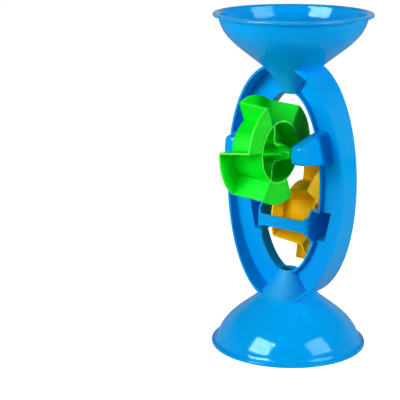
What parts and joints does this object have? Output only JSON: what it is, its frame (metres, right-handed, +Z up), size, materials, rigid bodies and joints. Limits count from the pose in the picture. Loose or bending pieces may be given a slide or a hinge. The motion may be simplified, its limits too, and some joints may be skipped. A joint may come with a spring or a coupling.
{
  "type": "sand wheel toy",
  "caption": "Sand wheel toy: a hopper over a matching upturned base, joined by an oval frame whose brackets carry free-spinning bucket wheels in front and behind.",
  "frame": {"origin": "centre of the base's rim, on the plane the stand rests on", "axes": "+Z up, X along both wheel axles, -Y towards the wheel that is mounted high"},
  "size_m": [0.16, 0.1938, 0.344],
  "materials": {
    "stand_blue": "smooth glossy moulded plastic, opaque mid blue",
    "wheel_green": "moulded plastic, bright green, finely mottled on the flat bucket sides",
    "wheel_yellow": "moulded plastic, warm yellow"
  },
  "bodies": {
    "stand": {"hopper": "stand_blue", "base": "stand_blue", "left_arm": "stand_blue", "right_arm": "stand_blue", "upper_left_bracket": "stand_blue", "upper_right_bracket": "stand_blue", "lower_left_bracket": "stand_blue", "lower_right_bracket": "stand_blue", "upper_crossbar": "stand_blue", "lower_crossbar": "stand_blue"},
    "front_wheel": {"green_drum": "wheel_green", "green_buckets": "wheel_green"},
    "rear_wheel": {"yellow_drum": "wheel_yellow", "yellow_buckets": "wheel_yellow"}
  },
  "joints": [
    {"name": "green_wheel_spin", "type": "hinge", "parent": "stand", "child": "front_wheel", "pos_m": [0, -0.0444, 0.2128], "axis": [1, 0, 0], "continuous": true},
    {"name": "yellow_wheel_spin", "type": "hinge", "parent": "stand", "child": "rear_wheel", "pos_m": [0, 0.0444, 0.1312], "axis": [1, 0, 0], "continuous": true}
  ]
}
